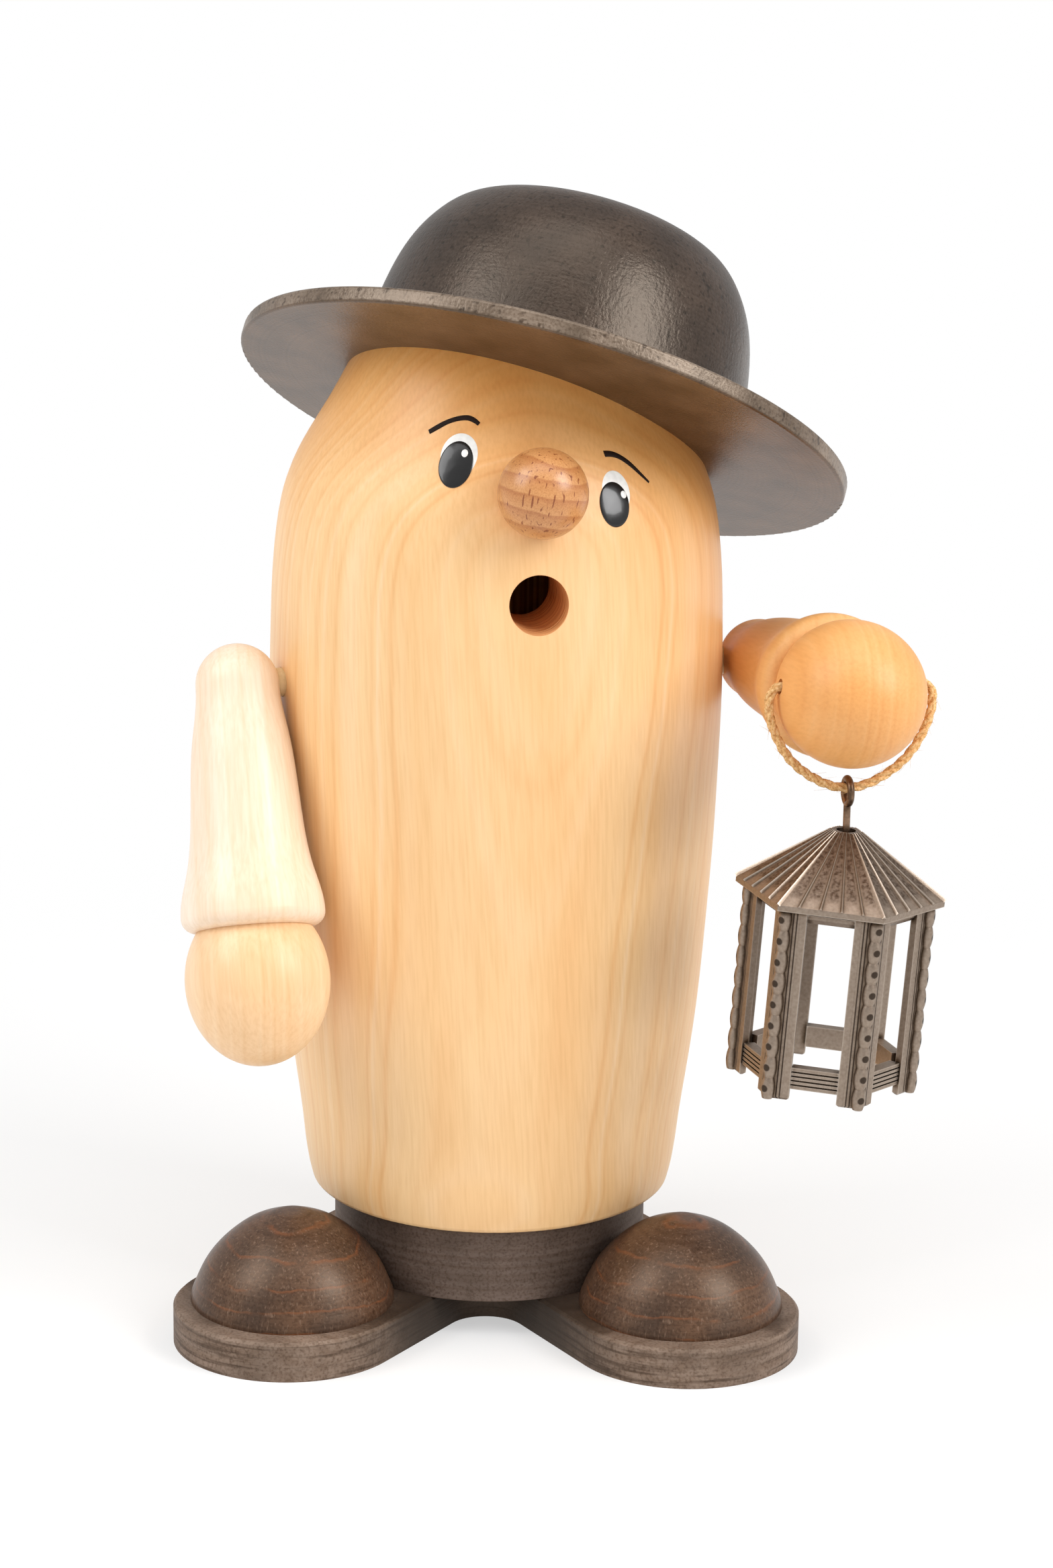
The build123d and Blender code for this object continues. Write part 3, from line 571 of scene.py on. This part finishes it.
def pewter_roof():
    """Roof: ribs and eaves rubbed bright, and mottled brown-black panels between them."""
    material, tree, shader, metal = pewter("pewter_cast_blackened_roof")[:4]
    rise, sixths = lantern_place(tree)[:2]
    half_face = math.pi / lantern_sides
    part = add(tree, "Math", {"operation": "FRACT"}, {0: sixths})
    turned = {0: part, 1: 2 * half_face, 2: -half_face}
    off_middle = add(tree, "Math", {"operation": "MULTIPLY_ADD"}, turned)
    slope = add(tree, "Math", {"operation": "TANGENT"}, {0: off_middle})
    panels = {0: slope, 1: panels_per_face / 2 / math.tan(half_face), 2: panels_per_face / 2}
    panel = add(tree, "Math", {"operation": "MULTIPLY_ADD"}, panels)
    near_rib = add(tree, "Math", {"operation": "PINGPONG"}, {0: panel, 1: 0.5})
    between = add(tree, "MapRange", {}, {"Value": near_rib, "From Min": 0.12, "From Max": 0.26})
    above = add(tree, "MapRange", {}, {"Value": rise, "From Min": 0.9 * MM, "From Max": 1.8 * MM})
    place = add(tree, "TexCoord", {}, {}).outputs["Object"]
    mottle = add(tree, "TexNoise", {}, {"Vector": place, "Scale": grain(0.6), "Detail": 3.0})
    patchy = {"Value": mottle, "From Min": 0.35, "From Max": 0.62, "To Min": 0.9, "To Max": 0.35}
    stain = add(tree, "MapRange", {}, patchy)
    panelled = add(tree, "Math", {"operation": "MULTIPLY"}, {0: between, 1: above})
    share = add(tree, "Math", {"operation": "MULTIPLY"}, {0: panelled, 1: stain})
    coloured = add(tree, "Mix", mixed_in, {"Factor": share, "A": metal, "B": "#443225"})
    fit(tree, shader, {"Base Color": coloured})
    return material


def bronzed_wire():
    """Bronzed steel wire of the eye: drawn smooth, dull brown, rubbed where it bears."""
    material, tree, shader = finish("steel_wire_bronzed", 0.38, metallic=0.9)
    place = add(tree, "TexCoord", {}, {}).outputs["Object"]
    cloud = add(tree, "TexNoise", {}, {"Vector": place, "Scale": grain(1.5), "Detail": 3.0})
    metal = add(tree, "ValToRGB", {"stops": [(0.35, "#5C4838"), (0.7, "#9C7F68")]}, {"Fac": cloud})
    fit(tree, shader, {"Base Color": metal})
    return material


def pressed_brass():
    """Dish of pressed brass, dulled by incense ash."""
    material, tree, shader = finish("brass_pressed_dull", 0.45, metallic=1.0)
    place = add(tree, "TexCoord", {}, {}).outputs["Object"]
    cloud = add(tree, "TexNoise", {}, {"Vector": place, "Scale": grain(3), "Detail": 4.0})
    metal = add(tree, "ValToRGB", {"stops": [(0.35, "#8C6A35"), (0.7, "#C9A35A")]}, {"Fac": cloud})
    fit(tree, shader, {"Base Color": metal})
    return material


def dowel_birch():
    """Birch dowel rod, rolled and plain."""
    tones = ("#F0DCB8", "#E6CB9C", "#D9B880")
    return limewood("birch_dowel_plain", (0, 0, 0), (0, 0, 1), 1.2, tones, contrast=0.5)[0]


def jute():
    """Jute twine: dull golden bast fibre, paler where it is frayed."""
    material, tree, shader = finish("jute_twine", 0.85, ior=1.45)
    place = add(tree, "TexCoord", {}, {}).outputs["Object"]
    # The fibres' tones are drawn coarser than real ones, so that they show
    cloud = add(tree, "TexNoise", {}, {"Vector": place, "Scale": grain(0.45), "Detail": 4.0})
    stops = [(0.3, "#B98447"), (0.5, "#E6B577"), (0.7, "#F7D29E")]
    fibre = add(tree, "ValToRGB", {"stops": stops}, {"Fac": cloud})
    bump = add(tree, "Bump", {}, {"Height": cloud, "Strength": 0.5, "Distance": 0.08 * MM})
    fit(tree, shader, {"Base Color": fibre, "Normal": bump})
    return material


def enamel(name, colour, roughness, coat=0.4):
    """Brushed-on enamel paint: even, glossy, with a faint brush wave."""
    material, tree, shader = finish(name, roughness, ior=1.5, coat=coat, coat_roughness=0.08)
    fit(tree, shader, {"Specular IOR Level": 0.2 + 0.75 * coat})
    place = add(tree, "TexCoord", {}, {}).outputs["Object"]
    wave = add(tree, "TexNoise", {}, {"Vector": place, "Scale": grain(1.2), "Detail": 1.0})
    tint = add(tree, "ValToRGB", {"stops": [(0.3, "#EFEFEF"), (0.7, "#FFFFFF")]}, {"Fac": wave})
    paint = add(tree, "Mix", darkened, {"Factor": 1.0, "A": colour, "B": tint})
    bump = add(tree, "Bump", {}, {"Height": wave, "Strength": 0.08, "Distance": 0.1 * MM})
    fit(tree, shader, {"Base Color": paint, "Normal": bump})
    return material


def wear(node, material):
    """Give a CAD sub-part its finish."""
    mesh = frame["nodes"][node].data
    mesh.materials.clear()
    mesh.materials.append(material)


def dress_cad_parts():
    """Finish every CAD sub-part."""
    seat = stained_wood(
        "stained_wood_pedestal",
        (0, 0, 0),
        (0, 0, 1),
        ground="#564840",
        worn="#72625A",
        turning=0.8,
        roughness=0.6,
    )[0]
    metal = pewter("pewter_cast_blackened")[0]
    posts = pewter_posts()
    birch = dowel_birch()
    # Painted light and shade: the left arm's tones are paler, as if lit, and the right arm's darker and more
    # orange, as if shaded; both are the same lime wood
    left = arm_limewood("left_sleeve", ("#FBEFE0", "#F8E5D0", "#F1D6B2"))
    lit_left_hand = arm_limewood("left_hand", ("#FAE0BF", "#F5D2A8", "#ECC18E"))
    right = arm_limewood("right_sleeve", ("#F1C38B", "#EBB677", "#E2A563"))
    shaded_right_hand = arm_limewood("right_hand", ("#F0BE83", "#EBB06E", "#E2A05A"))
    chosen = {
        "sole_plate": stained_ply(),
        "pedestal": seat,
        "left_shoe_cap": shoe_wood(-1),
        "right_shoe_cap": shoe_wood(1),
        "incense_dish": pressed_brass(),
        "body_shell": body_limewood(),
        "nose_ball": beech(),
        "hat_brim": stained_brim(),
        "hat_crown": stained_crown(),
        "left_sleeve": left,
        "left_hand": lit_left_hand,
        "right_sleeve": right,
        "right_hand": shaded_right_hand,
        "lantern_eye": bronzed_wire(),
        "lantern_roof": pewter_roof(),
    }
    for node in frame["nodes"]:
        if node in chosen:
            wear(node, chosen[node])
        elif "dowel" in node:
            wear(node, birch)
        elif node.startswith("lantern_post"):
            wear(node, posts)
        elif node.startswith("lantern"):
            wear(node, metal)


def keep(piece, body, material):
    """Finish a new piece and fasten it to its body."""
    piece.data.materials.clear()
    piece.data.materials.append(material)
    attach(piece, body)


def string_points():
    """The cord's route in metres, from inside the hand round the loop and back."""
    across = polar(1, string_azimuth)
    return [(string_hole + across * x + Vector((0, 0, y))) * MM for x, y in string_route]


def route_curve(points):
    """One open smooth spline with the route as its control points."""
    curve = bpy.data.curves.new("string_route", "CURVE")
    curve.dimensions = "3D"
    spline = curve.splines.new("NURBS")
    spline.points.add(len(points) - 1)
    for point, place in zip(spline.points, points):
        point.co = (*place, 1.0)
    spline.order_u = 3
    spline.use_endpoint_u = True
    spline.resolution_u = 24
    return bpy.data.objects.new("string_route", curve)


def along(points):
    """Length of the way up to each point."""
    reach = [0.0]
    for before, after in zip(points, points[1:]):
        reach.append(reach[-1] + (after - before).length)
    return reach


def skin(built, rings):
    """Join rings of corners, in a row, into one closed strand."""
    for before, after in zip(rings, rings[1:]):
        for k, corner in enumerate(before):
            following = (k + 1) % len(before)
            built.faces.new((corner, before[following], after[following], after[k]))
    built.faces.new(rings[0])
    built.faces.new(reversed(rings[-1]))


def solid(built, name):
    """Make the built strands one piece, with its faces outwards."""
    bmesh.ops.recalc_face_normals(built, faces=built.faces)
    mesh = bpy.data.meshes.new(name)
    built.to_mesh(mesh)
    built.free()
    piece = bpy.data.objects.new(name, mesh)
    bpy.context.collection.objects.link(piece)
    return piece


def twine(points, name):
    """Three loose plies laid round each other along the cord, each with its own fine yarns."""
    reach = along(points)
    built = bmesh.new()
    lay = twine_lay * MM
    sides = yarns_per_ply * 2
    side_way = polar(1, string_azimuth + math.pi / 2)
    for ply in range(ply_count):
        rings = []
        for i, (place, point) in enumerate(zip(reach, points)):
            ahead = points[min(i + 1, len(points) - 1)] - points[max(i - 1, 0)]
            ahead.normalize()
            normal = side_way.cross(ahead).normalized()
            turn = 2 * math.pi * (place / lay + ply / ply_count)
            middle = point + (normal * math.cos(turn) + side_way * math.sin(turn)) * ply_offset * MM
            ring = []
            for k in range(sides):
                angle = 2 * math.pi * k / sides + turn
                swell = 1 + yarn_depth * math.sin(yarns_per_ply * angle + yarn_twist * place / lay)
                outward = normal * math.cos(angle) + side_way * math.sin(angle)
                ring.append(built.verts.new(middle + outward * ply_radius * MM * swell))
            rings.append(ring)
        skin(built, rings)
    piece = solid(built, name)
    piece.data.shade_smooth()
    return piece


def loose_fibres(points, name):
    """Fine bast hairs that stand off the twine where it hangs free."""
    chance = random.Random(7)
    built = bmesh.new()
    free = [i for i, point in enumerate(points) if (point - string_hole * MM).length > hair_clear * MM]
    for _ in range(hair_count):
        i = chance.choice(free[:-1])
        ahead = (points[i + 1] - points[i]).normalized()
        out = Vector([chance.uniform(-1, 1) for _ in range(3)])
        out = (out - ahead * out.dot(ahead)).normalized()
        way = (out * chance.uniform(0.3, 0.8) + ahead * chance.choice((-1, 1))).normalized()
        curl = Vector([chance.uniform(-0.5, 0.5) for _ in range(3)])
        length = chance.uniform(*hair_lengths) * MM
        start = points[i] + out * hair_root * MM
        rings = []
        for step in range(5):
            share = step / 4
            middle = start + (way * share + curl * share * share) * length
            thin = hair_radius * MM * (1 - 0.7 * share)
            side = way.cross(out).normalized()
            corners = [out, (side - out) * 0.7, (-side - out) * 0.7]
            rings.append([built.verts.new(middle + corner * thin) for corner in corners])
        skin(built, rings)
    return solid(built, name)


def make_string():
    """The loop of jute twine that carries the lantern."""
    curve = route_curve(string_points())
    bpy.context.collection.objects.link(curve)
    sampled = bpy.data.meshes.new_from_object(curve)
    points = [v.co.copy() for v in sampled.vertices]
    bpy.data.objects.remove(curve)
    bpy.data.meshes.remove(sampled)
    string = twine(points, "jute_loop")
    twisted = jute()
    keep(string, "string", twisted)
    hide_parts("lantern_string")
    keep(loose_fibres(points, "jute_loose_fibres"), "string", twisted)


def lay_on_body(piece, centre, lift, tilt):
    """Lay a flat shape on the wood: X and Y run over the face, and Z and the lift (mm) stand off it."""
    body = frame["nodes"]["body_shell"]
    ray_start = 20
    away = Vector((centre.x, centre.y, 0)).normalized()
    right = Vector((0, 0, 1)).cross(away)
    up = Vector((0, 0, 1))
    turned_right = right * math.cos(tilt) + up * math.sin(tilt)
    turned_up = up * math.cos(tilt) - right * math.sin(tilt)
    for vertex in piece.data.vertices:
        flat = centre * MM + turned_right * vertex.co.x + turned_up * vertex.co.y
        place, normal = body.ray_cast(flat + away * ray_start * MM, -away)[1:3]
        vertex.co = place + normal * (vertex.co.z + lift * MM)
    piece.data.shade_smooth()


def paint_drop(name, centre, width, height, thickness, lift, tilt, material):
    """Oval drop of paint, thickest in the middle; its centre and sizes are in mm."""
    bpy.ops.object.select_all(action="DESELECT")
    bpy.ops.mesh.primitive_uv_sphere_add(segments=48, ring_count=24, radius=1.0)
    drop = bpy.context.object
    drop.name = name
    bpy.ops.object.mode_set(mode="EDIT")
    bpy.ops.transform.resize(value=(width / 2 * MM, height / 2 * MM, thickness * MM))
    bpy.ops.object.mode_set(mode="OBJECT")
    lay_on_body(drop, Vector(centre), lift, tilt)
    keep(drop, "body", material)


def brush_stroke(name, centre, route, widths, material):
    """Painted line: a soft flattened ribbon through the given places on the face (mm)."""
    stroke_radius = 0.6
    flatness = 0.25
    curve = bpy.data.curves.new(name, "CURVE")
    curve.dimensions = "3D"
    spline = curve.splines.new("NURBS")
    spline.points.add(len(route) - 1)
    for point, (x, y), width in zip(spline.points, route, widths):
        point.co = (x * MM, y * MM, 0, 1)
        point.radius = width
    spline.order_u = 3
    spline.use_endpoint_u = True
    spline.resolution_u = 10
    curve.bevel_depth = stroke_radius * MM
    curve.bevel_resolution = 4
    curve.use_fill_caps = True
    line = bpy.data.objects.new(name, curve)
    bpy.context.collection.objects.link(line)
    mesh = bpy.data.meshes.new_from_object(line)
    bpy.data.objects.remove(line)
    for vertex in mesh.vertices:
        vertex.co.z *= flatness
    stroke = bpy.data.objects.new(name, mesh)
    bpy.context.collection.objects.link(stroke)
    lay_on_body(stroke, Vector(centre), lift=0.02, tilt=0.0)
    keep(stroke, "body", material)


def make_face():
    """Painted eyes and brows."""
    white = enamel("enamel_white", "#FDFCF8", 0.35)
    black = enamel("enamel_black", "#0B0A0B", 0.26)
    brown = enamel("enamel_dark_brown", "#22120A", 0.6, coat=0.0)
    eyes = {
        "left": (6.2, (-6.2, -31.7, 157.1), (-6.7, -32.5, 155.7), (-5.2, -31.7, 157.4)),
        "right": (5.4, (19.9, -29.5, 151.0), (19.6, -30.5, 149.1), (20.9, -29.0, 150.5)),
    }
    for side, (width, ball, pupil, spark) in eyes.items():
        paint_drop(f"{side}_eye_white", ball, width, 6.8, 0.08, 0.0, -0.1, white)
        paint_drop(f"{side}_eye_pupil", pupil, 5.7, 7.2, 0.3, 0.05, -0.13, black)
        paint_drop(f"{side}_eye_spark", spark, 1.1, 1.2, 0.1, 0.3, 0.0, white)
    left_brow = [(-5.2, -2.4), (-3.9, -1.6), (-2.2, -0.6), (0.0, 0.1), (1.9, 0.1), (3.1, -0.8)]
    right_brow = [(-4.4, 1.8), (-3.2, 1.8), (-1.6, 1.2), (0.0, 0.0), (1.4, -1.5), (3.1, -3.3)]
    brush_stroke("left_brow", (-5.96, -28.23, 162.77), left_brow, (0.6, 0.7, 0.6, 0.65, 0.7, 0.5), brown)
    brush_stroke("right_brow", (21.97, -25.19, 155.2), right_brow, (0.8, 0.8, 0.7, 0.7, 0.55, 0.35), brown)


# Studio


def photo_camera():
    """Camera at the photograph's viewpoint."""
    place = Vector((7.79, -650.0, 258.51)) * MM
    pitch, yaw, roll = math.radians(14.243), math.radians(-0.192), math.radians(-0.851)
    focal_pixels = 5651.87
    image_height = 2335
    forward = Vector((math.sin(yaw) * math.cos(pitch), math.cos(yaw) * math.cos(pitch), -math.sin(pitch)))
    right = Vector((math.cos(yaw), -math.sin(yaw), 0))
    down = forward.cross(right)
    image_right = right * math.cos(roll) + down * math.sin(roll)
    image_down = down * math.cos(roll) - right * math.sin(roll)
    data = bpy.data.cameras.new("camera")
    data.sensor_width = 36
    data.lens = data.sensor_width * focal_pixels / image_height
    data.clip_start = 0.05
    camera = bpy.data.objects.new("camera", data)
    turn = Matrix((image_right, -image_down, -forward)).transposed()
    camera.matrix_world = Matrix.Translation(place) @ turn.to_4x4()
    bpy.context.collection.objects.link(camera)
    bpy.context.scene.camera = camera


def softbox(name, azimuth, elevation, distance, width, height, power):
    """Large soft lamp aimed at the middle of the figure: degrees, metres and watts."""
    middle = Vector((0.0, 0.0, 0.1))
    angle, rise = math.radians(azimuth), math.radians(elevation)
    way = Vector((math.sin(angle) * math.cos(rise), -math.cos(angle) * math.cos(rise), math.sin(rise)))
    data = bpy.data.lights.new(name, "AREA")
    data.shape = "RECTANGLE"
    data.size = width
    data.size_y = height
    data.energy = power
    lamp = bpy.data.objects.new(name, data)
    lamp.location = middle + way * distance
    lamp.rotation_mode = "QUATERNION"
    lamp.rotation_quaternion = (-way).to_track_quat("-Z", "Y")
    bpy.context.collection.objects.link(lamp)


def white_floor():
    """Matt white floor, which the camera sees fade into the white surroundings."""
    bpy.ops.object.select_all(action="DESELECT")
    bpy.ops.mesh.primitive_plane_add(size=6.0)
    floor = bpy.context.object
    floor.name = "studio_floor"
    material = bpy.data.materials.new("studio_white")
    material.use_nodes = True
    tree = material.node_tree
    tree.nodes.clear()
    rays = add(tree, "LightPath", {}, {})
    seen = {0: rays.outputs["Is Camera Ray"], 1: rays.outputs["Is Glossy Ray"]}
    straight = add(tree, "Math", {"operation": "MAXIMUM"}, seen)
    through = {0: straight, 1: rays.outputs["Is Transmission Ray"]}
    clear = add(tree, "Math", {"operation": "MAXIMUM"}, through)
    white = add(tree, "BsdfDiffuse", {}, {"Color": "#F2F2F2"})
    glow = add(tree, "Emission", {}, {"Color": "#FFFFFF", "Strength": 1.0})
    place = add(tree, "TexCoord", {}, {}).outputs["Object"]
    away = add(tree, "VectorMath", {"operation": "LENGTH"}, {0: place})
    spread = {"Value": away, "From Min": 0.1, "From Max": 0.32, "To Min": 0.5, "To Max": 1.0}
    paler = add(tree, "MapRange", {"interpolation_type": "SMOOTHSTEP"}, spread)
    share = add(tree, "Math", {"operation": "MULTIPLY"}, {0: clear, 1: paler})
    mixed = add(tree, "MixShader", {}, {0: share, 1: white, 2: glow})
    add(tree, "OutputMaterial", {}, {"Surface": mixed})
    floor.data.materials.append(material)


def white_surroundings():
    """Surroundings that the camera sees as white, and that light the figure more softly."""
    world = bpy.data.worlds.new("studio")
    world.use_nodes = True
    tree = world.node_tree
    tree.nodes.clear()
    rays = add(tree, "LightPath", {}, {})
    seen = {0: rays.outputs["Is Camera Ray"], 1: rays.outputs["Is Transmission Ray"]}
    straight = add(tree, "Math", {"operation": "MAXIMUM"}, seen)
    soft = add(tree, "Background", {}, {"Color": "#FFFFFF", "Strength": 0.57})
    plain = add(tree, "Background", {}, {"Color": "#FFFFFF", "Strength": 1.0})
    mixed = add(tree, "MixShader", {}, {0: straight, 1: soft, 2: plain})
    add(tree, "OutputWorld", {}, {"Surface": mixed})
    bpy.context.scene.world = world


def studio():
    """White floor, white surroundings and three soft lamps: left, right and above."""
    white_floor()
    white_surroundings()
    softbox("left_softbox", -66, 42, 0.8, 0.42, 0.5, 2.85)
    softbox("right_softbox", 60, 36, 0.8, 0.36, 0.46, 3.95)
    softbox("top_softbox", 0, 78, 0.9, 0.7, 0.5, 1.9)
    bpy.context.scene.view_settings.view_transform = "Standard"


def main():
    """Dress the frame and light it."""
    dress_cad_parts()
    make_string()
    make_face()
    studio()
    photo_camera()


main()
